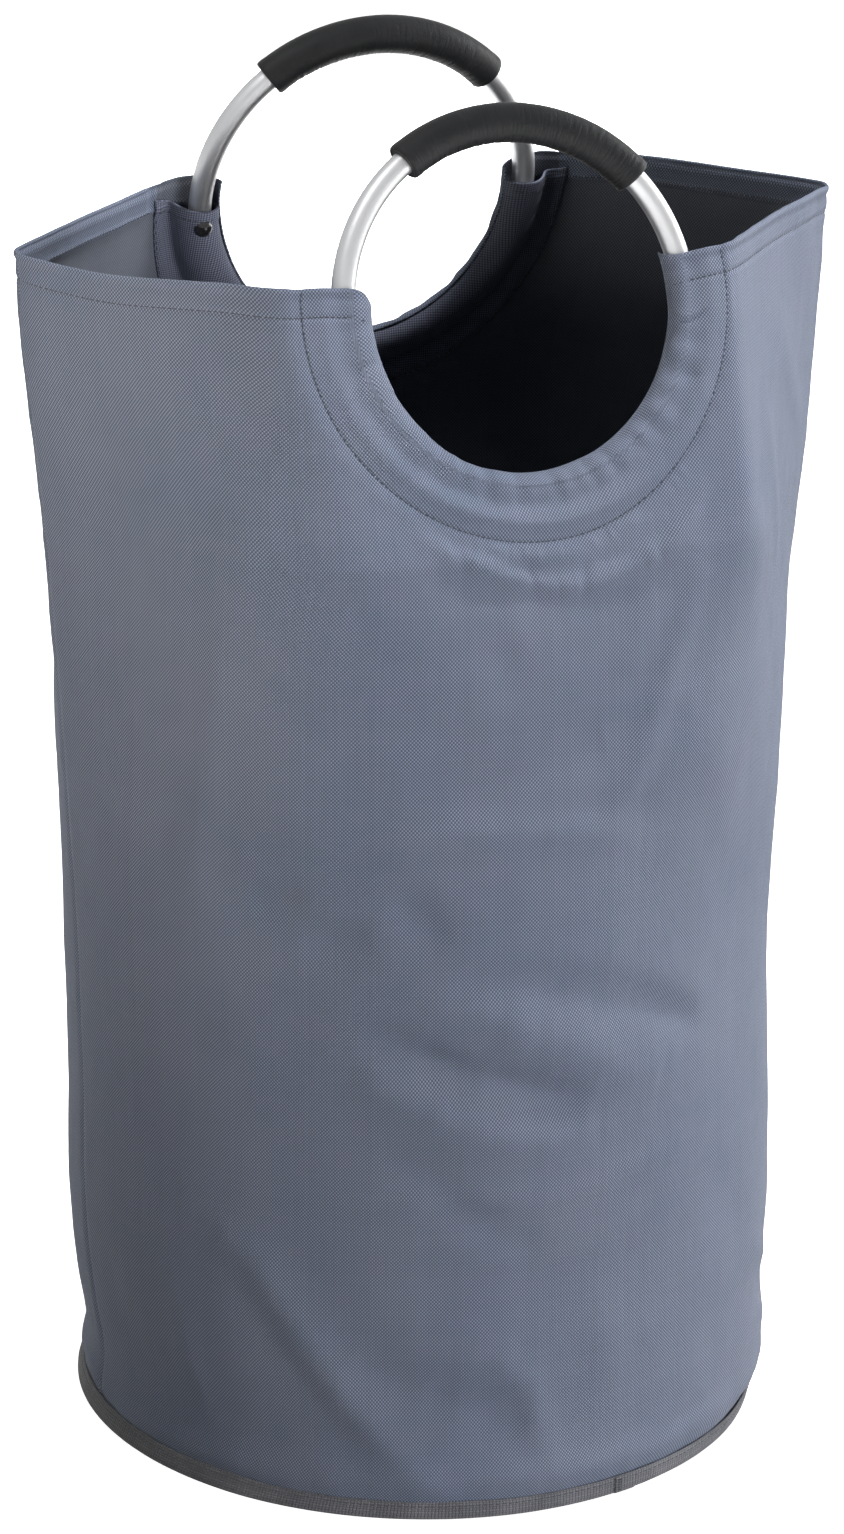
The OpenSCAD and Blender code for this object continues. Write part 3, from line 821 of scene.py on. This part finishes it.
def plug_material(name):
    s = Shader(name)
    grain = s.noise(800.0, 4.0, 0.6)
    flow = s.noise(1.0, vector=s.stretched(s.place, (40, 300, 300)))
    return s.set(Base_Color=s.mottle(flow, 0.35, 0.7, (0.02, 0.02, 0.021), (0.035, 0.035, 0.037)),
                 Roughness=s.remap(grain, 0.3, 0.7, 0.42, 0.6), Normal=s.bump(grain, 0.0001, 0.5))


OUTER = cloth_material("bag_cloth_outside", (0.117, 0.145, 0.202), (0.151, 0.173, 0.228),
                       (0.152, 0.164, 0.232))
# the inside: the same cloth with a softer weave, painted darker than the outside as painted shade
# inside the bag
INNER_SHADED = cloth_material("bag_cloth_inside", (0.104, 0.118, 0.146), (0.126, 0.138, 0.166),
                       (0.122, 0.130, 0.168), rough=0.82, weave_depth=0.00012, contrast=0.4)
FACING = cloth_material("facing_cloth_bias", (0.108, 0.122, 0.168), (0.132, 0.142, 0.190),
                        (0.130, 0.134, 0.194), turn=45)
UNDER = cloth_material("base_cloth_woven", (0.050, 0.052, 0.058), (0.068, 0.070, 0.078),
                       (0.060, 0.061, 0.070), pitch=(1.1, 1.1), contrast=0.3)
TAPE = tape_material("binding_tape_woven", (0.118, 0.121, 0.138), (0.176, 0.178, 0.198))
THREAD = thread_material("sewing_thread", (0.020, 0.023, 0.031), (0.045, 0.050, 0.064))
TUBE = tube_material("satin_aluminium")
FOAM = foam_material("foam_skin")
RIVET = rivet_material("gloss_black_cap")
BOARD = board_material("fibre_board")
PLUG = plug_material("moulded_plug")


# ---------------------------------------------------------------- wall cloths
COLLAR_ROWS = np.concatenate([
    np.arange(RING_R, 110, 1.45),
    [110.6, 111.6, 112.4, 113.0, 113.5, 113.9, 114.3, 114.7, 115.1, 115.6, 116.3],
    [117.2, 118.3, 119.6, 121.0, 122.5, COLLAR_R]])
CURL = np.radians(np.linspace(104, 0, 11))[:-1]
SEAM_COLS, BASE_COLS, OUT_ROWS, FOLLOW_COLS = 170, 150, 112, 60
EDGE_BOTTOM_Z = 2.0
WALL_WRAPS, FACING_WRAPS = 5, 3      # points round a side edge


def rim_angle(wall, r, sign, n=-FACE_OFF):
    """Angle above the ring's level line where a circle of radius r meets the rim."""
    r = np.asarray(r, float)
    a = np.full(r.shape, 0.12)
    level = -wall.centre[2] + n * math.sin(wall.lean)
    for _ in range(12):
        v = (wall.rim_z(sign * r * np.cos(a)) + level) / math.cos(wall.lean)
        a = np.arcsin(np.clip(v / r, -0.9, 0.9))
    return a


def column_angles(wall, r, r_left=None, n=-FACE_OFF):
    """Angles (ring radius rows x columns) from the right end of the rim to the left one."""
    a0 = np.atleast_1d(rim_angle(wall, r, 1, n))[:, None]
    a1 = np.atleast_1d(-math.pi - rim_angle(wall, r if r_left is None else r_left, -1, n))[:, None]
    corner0, corner1 = math.radians(-62), math.radians(-118)
    down = np.linspace(0, 1, SEAM_COLS + 1)
    below = np.linspace(0, 1, BASE_COLS + 1)[:-1]
    return np.concatenate([mix(a0, corner0, down[:-1]), mix(corner0, corner1, below) + 0 * a0,
                           mix(corner1, a1, down)], axis=1)


def outer_boundary(wall):
    """(u, z) of the cloth's cut edge: down the right seam, round the base, up the left one."""
    t = np.linspace(0, 1, SEAM_COLS + 1)
    fall = 0.25 * t + 0.75 * t * t
    z_right = mix(wall.rim_z(CORNER_X), EDGE_BOTTOM_Z, fall)
    z_left = mix(wall.rim_z(-CORNER_X), EDGE_BOTTOM_Z, fall)[::-1]
    ends = [sign * float(wall.half(sign, EDGE_BOTTOM_Z)) for sign in (1, -1)]
    u_base = np.linspace(*ends, BASE_COLS + 1)
    u = np.concatenate([wall.half(1, z_right)[:-1], u_base[:-1], -wall.half(-1, z_left)])
    return u, np.concatenate([z_right[:-1], np.full(BASE_COLS, EDGE_BOTTOM_Z), z_left])


def panel_grid(wall):
    """Outer face of a wall: points and cloth coordinates, [row][column]."""
    rows, cloth = [], []
    # the edge rolled round the tube
    for theta in CURL:
        roll, turn = RING_R - 9.5 * theta, math.sin(theta)
        ends = [RING_R - (RING_R - wall.edge_r(np.array([d]))) * turn for d in (8, -188)]
        angle = column_angles(wall, *ends, -FACE_OFF * math.cos(theta))[0]
        degrees = np.degrees(angle)
        r_edge = wall.edge_r(degrees) + 0.5 * noise1(degrees, 11, wall.seed + 20)
        lift = wall.channel(np.full(len(angle), roll), degrees) * (1 - smooth((theta - 1.15) / 0.5))
        r = RING_R - (RING_R - r_edge + lift) * turn
        rows.append(wall.on_ring(r, angle, -(FACE_OFF + lift) * math.cos(theta)))
        cloth.append(stack(roll * np.cos(angle), wall.middle_z + roll * np.sin(angle)))
    # the tunnel and its surround
    u, z = wall.in_cloth(COLLAR_ROWS[:, None], column_angles(wall, COLLAR_ROWS))
    # and on to the seams and the base
    u1, z1 = outer_boundary(wall)
    t = np.linspace(0, 1, OUT_ROWS + 1)[1:, None]
    t = 0.5 * t + 0.5 * (3 * t * t - 2 * t**3)
    fu, fz = mix(u[-1], u1, t), mix(z[-1], z1, t)
    # ends of the rows follow the rim
    band = np.arange(FOLLOW_COLS)
    for col, cols in ((0, band), (-1, len(u1) - 1 - band)):
        lift = wall.rim_z(wall.x_at(fu[:, col], fz[:, col])) - fz[:, col]
        fz[:, cols] += lift[:, None] * (1 - smooth(band / FOLLOW_COLS))
    u, z = np.concatenate([u, fu]), np.concatenate([z, fz])
    flat = stack(u, z / math.cos(wall.lean * 0.5))
    return np.concatenate([rows, wall.surface(u, z)]), np.concatenate([cloth, flat])


def cloth_shell(wall):
    """Closed thin shell of a wall cloth, with its hem doubled and its rim folded round."""
    outer, cloth = panel_grid(wall)
    ni, nj = outer.shape[:2]
    normal = grid_normals(outer)
    if normal[ni // 2, nj // 2, 1] * wall.side < 0:
        normal = -normal
    x, z = outer[..., 0], outer[..., 2]
    below = wall.rim_z(x) - z
    hem = smooth((HEM_H + 0.6 - below) / 1.2) * smooth((np.abs(x) - 116) / 6)
    r, angle = wall.polar(x, z)
    sewn = bump(r, wall.stitch_r(angle), 2.2) * (z > 490)
    thick = mix(CLOTH_T, HEM_T, hem) - 0.5 * sewn * (1 - hem)
    inner = outer - normal * thick[..., None]
    # away from the ring it stays on its own side of the seams
    height = np.clip(inner[..., 2], 0, 660)
    limit = seam_y(height) + wall.corner_shift(inner[..., 0], height) + 0.15 * wall.side
    far = np.arange(ni)[:, None] > len(CURL) + len(COLLAR_ROWS)
    clamp = np.minimum if wall.side < 0 else np.maximum
    inner[..., 1] = np.where(far, clamp(inner[..., 1], limit), inner[..., 1])
    points, uv, faces, ends = shell_parts(outer, inner, cloth, WALL_WRAPS, 0.5)
    # the inner face shows the inner colour, the same cloth painted darker as painted shade inside the
    # bag, but for the hem, which is turned in
    row, column = np.divmod(faces[:, 0], 2 * (nj + WALL_WRAPS))
    last = 2 * nj + WALL_WRAPS - 1
    inside = (column >= nj + WALL_WRAPS) & (column < last)
    j = np.clip(last - column, 0, nj - 1)
    turned = (below[row, j] < HEM_H + 0.4) & (np.abs(x[row, j]) > 112)
    index = np.concatenate([np.where(inside & ~turned, 1, 0), np.zeros(len(ends), int)])
    return closed_object(wall.name + "_cloth", points, faces.tolist() + ends, [OUTER, INNER_SHADED], uv,
                         index)


def blend_to_handle(obj, wall):
    """Bakes the object's transform into its mesh."""
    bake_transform(obj)


def panel_thread(wall):
    """Stitches on the outer face and the inner hem, at the tunnel and the rim."""
    right, left = (math.degrees(float(rim_angle(wall, STITCH_R, sign))) for sign in (1, -1))
    angle = np.radians(np.linspace(right - 0.6, -180 - left + 0.6, 420))
    u, z = wall.in_cloth(wall.stitch_r(np.degrees(angle)), angle)
    runs = [stitches(wall.surface(u, z), wall.surface_normal(u, z))]
    for sign in (-1, 1):
        u = sign * np.linspace(81, float(wall.half(sign, RIM_H)) - 2.5, 260)
        z = wall.rim_z(wall.x_at(u, RIM_H)) - HEM_H + 0.8
        p, n = wall.surface(u, z), wall.surface_normal(u, z)
        keep = np.abs(u) > 120
        runs += [stitches(p, n), stitches((p - n * HEM_T)[keep], -n[keep])]
    return thread_object(wall.name + "_thread", runs)


# ---------------------------------------------------------------- facings
FACING_CURL = np.radians(np.linspace(72, 180, 15))
FACING_R = [91.5, 93.5, 95.6, 98, 100.5, 103, 105.2, 107.2, 109, 110.8, 112.6, 113.6, STITCH_R,
            115.0, 116, 117.4, 118.4]
# how deep the facing lies inside the ring's plane, by radius
FACING_DEPTH = [(89.5, 7.35), (93.5, 6.4), (98, 3.2), (102.5, -1.6), (106.2, -5.0), (109.5, -6.0),
                (114.3, -5.75), (118.4, -6.25)]
FACING_COLS = 300


def facing_shell(wall):
    """The inner cloth that closes the tunnel, from the rolled edge to the stitch line."""
    share = np.linspace(0, 1, FACING_COLS)
    degrees = mix(1.5, -181.5, share)
    lip = np.maximum(wall.edge_r(degrees), 74.0) + 1.1
    wrinkle = np.maximum(0, noise1(degrees * 2.0, 8.0, wall.seed + 30))
    fine = np.maximum(0, noise2(degrees * 2.0, degrees * 0 + 9, 4.0, 5, wall.seed + 31))
    rows = [(RING_R - (RING_R - lip) * math.sin(t),
             -7.35 * math.cos(t) + 0.35 * fine * math.sin(t / 2) ** 2) for t in FACING_CURL]
    for r in FACING_R:
        pull = (wall.stitch_r(degrees) - STITCH_R) * smooth((r - 98) / 12)
        depth = float(curve_through(np.array(r), FACING_DEPTH))
        waves = 1.5 * wrinkle * bump(r, 103, 7) + 0.6 * fine * bump(r, 106, 5)
        rows.append((r + pull, depth + waves))
    r, n = np.moveaxis(np.array(rows), 1, 0)
    # the open ends dip between the cut-out and the stitch line
    way = np.clip((r - 78) / 40, 0, 1)
    dip = 1.6 * np.sin(way * math.pi)
    a0 = np.arcsin((mix(3.0, 4.0, smooth(way)) - dip) / r)
    a1 = -math.pi - np.arcsin((mix(-1.2, 1.8, smooth(way)) - dip) / r)
    angle = mix(a0, a1, share)
    # its outer edge lies on the wall
    u, z = wall.in_cloth(r, angle)
    on_wall = wall.surface(u, z) - wall.surface_normal(u, z) * (CLOTH_T + 0.95)
    points = mix(wall.on_ring(r, angle, n), on_wall, smooth((r - 101) / 8)[..., None])
    curl, middle = len(FACING_CURL), FACING_COLS // 2
    normal = grid_normals(points)
    if np.dot(normal[curl, middle], wall.inward) < 0:
        normal = -normal
    # it is doubled at its two ends
    from_end = np.minimum(share, 1 - share) * FACING_COLS
    thick = mix(0.75, 1.5, smooth((9 - from_end) / 2.0))[:, None]
    flat_part = (np.arange(len(points)) >= curl + 9)[:, None, None]
    back = points - normal * np.where(flat_part, 0.75, np.minimum(thick, 0.85))
    face = points + normal * np.where(thick > 0.9, (thick - 0.75) * 0.6, 0)
    radius = 78 + running_length(points[:, middle])[:, None]
    cloth = stack(radius * np.cos(angle), radius * np.sin(angle))
    verts, uv, faces, ends = shell_parts(face, back, cloth, FACING_WRAPS, 0)
    obj = closed_object(wall.name + "_facing_cloth", verts, faces.tolist() + ends, [FACING], uv)
    sewn = curl + int(np.argmin(np.abs(r[curl:, 0] - STITCH_R)))
    runs = [stitches(points[sewn, 4:-4], normal[sewn, 4:-4], sink=0.0)]
    across = slice(curl - 6, len(points) - 2)
    for c in (5, FACING_COLS - 6):
        p, n = points[across, c], normal[across, c]
        runs.append(stitches(p + n * 0.45, n, sink=0.0))
    return obj, thread_object(wall.name + "_facing_thread", runs)


for key, wall in WALLS.items():
    body = key + "_handle"
    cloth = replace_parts(cloth_shell(wall), key + "_panel")
    thread = panel_thread(wall)
    facing, facing_thread = facing_shell(wall)
    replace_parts(facing, key + "_facing")
    for piece in (cloth, thread):
        blend_to_handle(piece, wall)
    for piece in (facing, facing_thread):
        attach(piece, body)


# ---------------------------------------------------------------- base
TAPE_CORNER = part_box("base_binding")[1]
TAPE_R, TAPE_TOP = TAPE_CORNER.x / MM + 0.1, TAPE_CORNER.z / MM - 0.1


def tape_wave(angle, z):
    """Slight waves of the binding: more at its free top edge than at the fold."""
    d, top = np.degrees(angle), smooth((z - 1.5) / 8.0)
    radial = 0.35 * noise1(d, 9, 71) + 0.22 * noise1(d, 3.1, 72)
    lift = 0.35 * noise1(d, 14, 73) + 0.15 * noise1(d, 4, 74)
    return (radial - 0.1) * (0.25 + 0.75 * top), lift * top


def base_tape():
    """The folded binding: its (radius, height) section swept round the base."""
    outer, top = TAPE_R, TAPE_TOP
    inner, t = outer - 8.2, 1.1
    profile = np.array([
        (outer - 0.15, top - 0.2), (outer, top - 1.2), (outer + 0.1, top - 3.4),
        (outer + 0.12, 4.0), (outer, 2.0), (outer - 0.4, 0.7), (outer - 1.1, 0.12),
        (outer - 2.4, 0.0), (inner + 2.4, 0.0), (inner + 1.1, 0.12), (inner + 0.4, 0.7), (inner, 2.0),
        (inner, top - 1.6), (inner + 0.3, top - 1.0), (inner + t - 0.3, top - 1.0),
        (inner + t, top - 1.6), (inner + t, 1.7), (inner + t + 0.5, 1.2), (outer - t - 0.5, 1.2),
        (outer - t, 1.7), (outer - t, top - 0.6), (outer - t + 0.25, top),
        (outer - 0.45, top + 0.05)])
    angle = np.linspace(0, 2 * math.pi, 960, endpoint=False)[:, None]
    dr, dz = tape_wave(angle, profile[:, 1])
    points = settle(around(profile[:, 0] + dr, angle, profile[:, 1] + dz))
    uv = stack(angle * BASE_R, running_length(profile))
    faces = grid_faces(*points.shape[:2], closed=True, hoop=True)
    return closed_object("base_tape", points.reshape(-1, 3), faces, [TAPE], uv.reshape(-1, 2))


tape = base_tape()
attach(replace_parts(tape, "base_binding"), "bag")


def tape_thread():
    angle = np.linspace(0, 2 * math.pi, 1500)
    dr, dz = tape_wave(angle, TAPE_TOP - 2.2)
    points = settle(around(TAPE_R + 0.06 + dr, angle, TAPE_TOP - 2.3 + dz))
    run = stitches(points, around(1, angle, 0), pitch=3.4, length=2.6, radius=0.26)
    return thread_object("base_thread", [run])


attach(tape_thread(), "bag")


def tape_lap():
    """The binding's end, lapped over its start and held with a bar of stitches."""
    at, wide = math.radians(-72.5), math.radians(4.2)
    cols, z = 26, np.array([0.8, 2.2, 4.2, 6.2, 8.2, 9.3])[:, None]
    a = np.linspace(at - wide / 2, at + wide / 2, cols)
    dr, dz = tape_wave(a, z)
    taper = smooth(np.minimum(np.arange(cols), np.arange(cols)[::-1]) / 1.5)
    stand = (0.35 + 0.65 * taper) * (1 - 0.4 * (z < 1.5))
    layers = [settle(around(TAPE_R + 0.15 + dr + lift * stand, a, z + dz)) for lift in (0.95, 0.1)]
    uv = np.tile(stack(a * BASE_R + 0.6, z + 0.4).reshape(-1, 2), (2, 1))
    # the two layers, and the strip of faces between their edges
    body, grid = grid_faces(len(z), cols), np.arange(z.size * cols).reshape(-1, cols)
    ring = np.concatenate([grid[0], grid[1:, -1], grid[-1, -2::-1], grid[-2:0:-1, 0]])
    after = np.roll(ring, -1)
    faces = np.concatenate([body, (body + grid.size)[:, ::-1],
                            stack(after, ring, ring + grid.size, after + grid.size)])
    lap = closed_object("base_tape_lap", np.concatenate(layers).reshape(-1, 3), faces, [TAPE], uv)
    runs = []
    for off in (-0.9, 0.0, 0.9):
        a, z = at - wide / 2 + math.radians(0.9) + off / TAPE_R, np.linspace(1.6, 8.8, 30)
        dr, dz = tape_wave(a, 5.0)
        points = settle(around(TAPE_R + 1.12 + dr, a, z + dz))
        runs.append(stitches(points, around(1, a, 0 * z), pitch=1.4, length=1.3, radius=0.3))
    return lap, thread_object("base_lap_thread", runs)


lap, lap_thread = tape_lap()
for piece in (lap, lap_thread):
    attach(piece, "bag")


def base_cloth():
    """The round cloth under the bag, its edge turned down inside the binding."""
    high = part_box("base_panel")[1]
    r1, z1 = high.x / MM - 0.15, high.z / MM
    r = np.concatenate([np.linspace(6, r1 - 6, 46), [r1 - 3, r1 - 1.2, r1 - 0.35, r1]])[:, None]
    count = 256
    angle = np.linspace(0, 2 * math.pi, count, endpoint=False)
    waves = noise2(r * np.cos(angle), r * np.sin(angle), 38, 38, 81) * smooth((r1 - r) / 14)

    def layer(lower):
        """The upper (0) or lower (1) face of the cloth and of its turned edge."""
        sag = -0.45 - 0.35 * waves * (1 - lower)
        disc = around(r, angle, z1 + sag * 0.5 - 0.5 * bump(r, r1, 1.2) - 0.15 - 0.85 * lower)
        return np.concatenate([disc, around(r1 - 0.9 * lower, angle,
                                            np.array([8.0, 6.0, 4.0, 2.6])[:, None])])

    loop = np.concatenate([layer(0), layer(1)[::-1]])
    faces = grid_faces(len(loop), count, closed=True).tolist()
    middle, last = len(loop) * count, (len(loop) - 1) * count
    for k in range(count):
        k2 = (k + 1) % count
        faces += [[middle, k2, k], [middle + 1, last + k, last + k2]]
    verts = np.concatenate([loop.reshape(-1, 3), [[0, 0, z1 - 0.3], [0, 0, z1 - 1.2]]])
    return closed_object("base_cloth", verts, faces, [UNDER], verts[:, :2])


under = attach(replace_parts(base_cloth(), "base_panel"), "bag")


# ---------------------------------------------------------------- side seam bindings
SEAM_INSET = [0.0, 1.5, 3.5, 5.5, 7.4, 8.6, 9.0, 9.1]
SEAM_HALF_T = [0.25, 0.5, 0.85, 1.0, 1.05, 0.85, 0.45, 0.0]


def seam_tape(side):
    """Folded tape over the raw edges inside a side seam, standing in from the corner."""
    name = "right" if side > 0 else "left"
    z = np.linspace(16, 617, 210)
    root_x = half_width(z) - 2.7 - 0.9
    centre_y = seam_y(z) + Wall.corner_shift(half_width(z), z)
    wave = 0.5 * noise1(z, 26, 91 + side) + 0.25 * noise1(z, 9, 93 + side)
    inset = np.array(SEAM_INSET + SEAM_INSET[-2::-1])[:, None]
    off = np.array(SEAM_HALF_T + [-t for t in SEAM_HALF_T[-2::-1]])[:, None]
    m, n = len(inset), len(z)
    points = settle(stack(side * (root_x - inset), centre_y + off + wave * (inset / 9.0), z))
    uv = stack(z, 1.4 * np.arange(m)[:, None])
    ends = [[row * n + column for row in range(m)] for column in (0, n - 1)]
    obj = closed_object(name + "_seam_tape", points.reshape(-1, 3),
                        grid_faces(m, n, hoop=True).tolist() + ends, [TAPE], uv.reshape(-1, 2))
    runs = []
    for s in (-1, 1):
        line = settle(stack(side * (root_x - 6.2), centre_y + s * 1.08 + wave * 0.69, z))
        runs.append(stitches(line, stack(0.0, s, 0 * z), radius=0.24))
    return obj, thread_object(name + "_seam_thread", runs)


for side, node in ((-1, "left_seam_binding"), (1, "right_seam_binding")):
    seam, seam_thread = seam_tape(side)
    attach(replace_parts(seam, node), "bag")
    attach(seam_thread, "bag")


# ---------------------------------------------------------------- grips
GRIP_TURN = {"front": -7.0, "rear": -2.0}      # degrees each grip has slipped round its ring
GRIP_ARC, GRIP_R, BORE_R, END_R = 85.0, 10.0, 6.1, 1.5


def foam_grip(wall):
    """Foam sleeve on the top of the ring: fine cross wrinkles and softly turned ends."""
    a0, a1 = (math.radians(90 + GRIP_TURN[wall.name] + way * GRIP_ARC / 2) for way in (-1, 1))
    share = np.linspace(0, 1, 520)[:, None]
    phi = np.linspace(0, 2 * math.pi, 72, endpoint=False)
    length = math.radians(GRIP_ARC) * RING_R
    s, seed = share * length, wall.seed + 40
    to_end = np.minimum(s, length - s)
    rounding = np.sqrt(np.maximum(0, END_R**2 - (END_R - to_end) ** 2))
    lip = np.where(to_end < END_R, END_R - rounding, 0)
    inner_side = 0.5 - 0.5 * np.cos(phi)
    fine = 0.08 * noise2(s + 0.5 * np.sin(3 * phi), phi * 10, 0.8, 5.0, seed)
    furrow = 0.28 * np.maximum(0, noise2(s, phi * 10, 1.1, 6.5, seed + 3)) ** 1.3
    relief = fine * (0.25 + inner_side) - furrow * (0.2 + inner_side)
    relief += 0.05 * noise2(s, phi * 4, 16, 6, seed + 2)
    radius = GRIP_R - 0.15 - lip + relief * smooth(to_end / 2.5) + 0.15 * bump(to_end, 3.0, 2.0)

    def place(angle, rad):
        """Points round the tube; phi is 0 on the outside of the ring."""
        return wall.on_ring(RING_R + rad * np.cos(phi), angle, rad * np.sin(phi))

    def end_face(angle, sign, rim):
        """A short dished face between the skin and the bore."""
        q = np.array([[0.25], [0.5], [0.75]])
        dish = sign * 0.25 * np.sin(math.pi * q) / RING_R
        return place(angle + dish, mix(rim, BORE_R, q))

    bore = place(mix(a1, a0, np.linspace(1, 0, 90)[:, None]), BORE_R)
    rows = np.concatenate([place(mix(a1, a0, share), radius), end_face(a0, 1, radius[-1]), bore,
                           end_face(a1, -1, radius[0])[::-1]])
    faces = grid_faces(*rows.shape[:2], closed=True, hoop=True)
    return closed_object(wall.name + "_foam_grip", rows.reshape(-1, 3), faces, [FOAM])


for key, wall in WALLS.items():
    grip = foam_grip(wall)
    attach(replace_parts(grip, key + "_grip"), key + "_handle")

# ---------------------------------------------------------------- CAD nodes that stay
KEPT = {"base_board": BOARD, "_ring": TUBE, "_ring_plug": PLUG, "_rivet": RIVET}
for name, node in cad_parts.items():
    for ending, material in KEPT.items():
        if name.endswith(ending):
            node.data.materials.clear()
            node.data.materials.append(material)


# ---------------------------------------------------------------- floor and light
def make_floor():
    s = Shader("floor_paper")
    tone = s.blend(s.noise(3.0, 2.0), (0.80, 0.80, 0.805), (0.82, 0.82, 0.825))
    paper = s.set(Base_Color=tone, Roughness=0.9, Emission_Color=(1, 1, 1), Emission_Strength=0.90)
    size = 16000.0
    corners = [(x * size, y * size, -0.4) for x, y in ((-1, -1), (1, -1), (1, 1), (-1, 1))]
    floor = make_object("floor", corners, [(0, 1, 2, 3)], [paper])
    floor.visible_diffuse = False


def area_light(name, azimuth, elevation, distance, size, power, target, gloss, colour=(1, 1, 1)):
    data = bpy.data.lights.new(name, "AREA")
    data.shape = "RECTANGLE"
    data.size, data.size_y = size
    data.energy, data.color = power, colour
    light = aim(bpy.data.objects.new(name, data), azimuth, elevation, distance, target)
    light.visible_diffuse, light.visible_glossy = not gloss, gloss
    light.visible_camera = False


def make_light():
    world = bpy.data.worlds.new("studio")
    world.use_nodes = True
    sky = world.node_tree.nodes["Background"].inputs
    sky[0].default_value, sky[1].default_value = (0.98, 0.99, 1.0, 1), 0.62
    world.cycles_visibility.diffuse = False
    SCENE.world = world
    wide, low, high = (1.3, 0.72), (0, 0, 0.36), (0, 0, 0.6)
    area_light("key", 25, 1, 3.2, wide, 78, low, False)
    area_light("right", 68, 14, 3.0, (1.0, 0.8), 25, (0, 0, 0.5), False)
    area_light("above", 90, 70, 2.5, (0.9, 0.8), 88, high, False)
    area_light("left", -75, 1, 3.2, wide, 8, low, False)
    area_light("near_left", -66, 6, 0.5, (0.3, 0.2), 2.4, (-0.15, -0.05, 0.60), False,
               colour=(1.0, 0.95, 0.86))
    area_light("near_front", 18, 0, 1.0, (0.4, 0.4), 1.5, (0.05, 0, 0.43), False)
    area_light("behind", 170, 1, 3.0, (1.8, 0.72), 80, low, False)
    # seen only in the gloss of the tubes and the grips
    area_light("gloss_right", 95, 12, 3.0, (2.0, 2.0), 72, high, True)
    area_light("gloss_left", -70, 60, 3.0, (1.2, 1.0), 17, high, True)
    area_light("gloss_front", -20, 2, 3.0, (0.8, 1.0), 4, high, True)


make_floor()
make_light()
SCENE.view_settings.view_transform = "Standard"
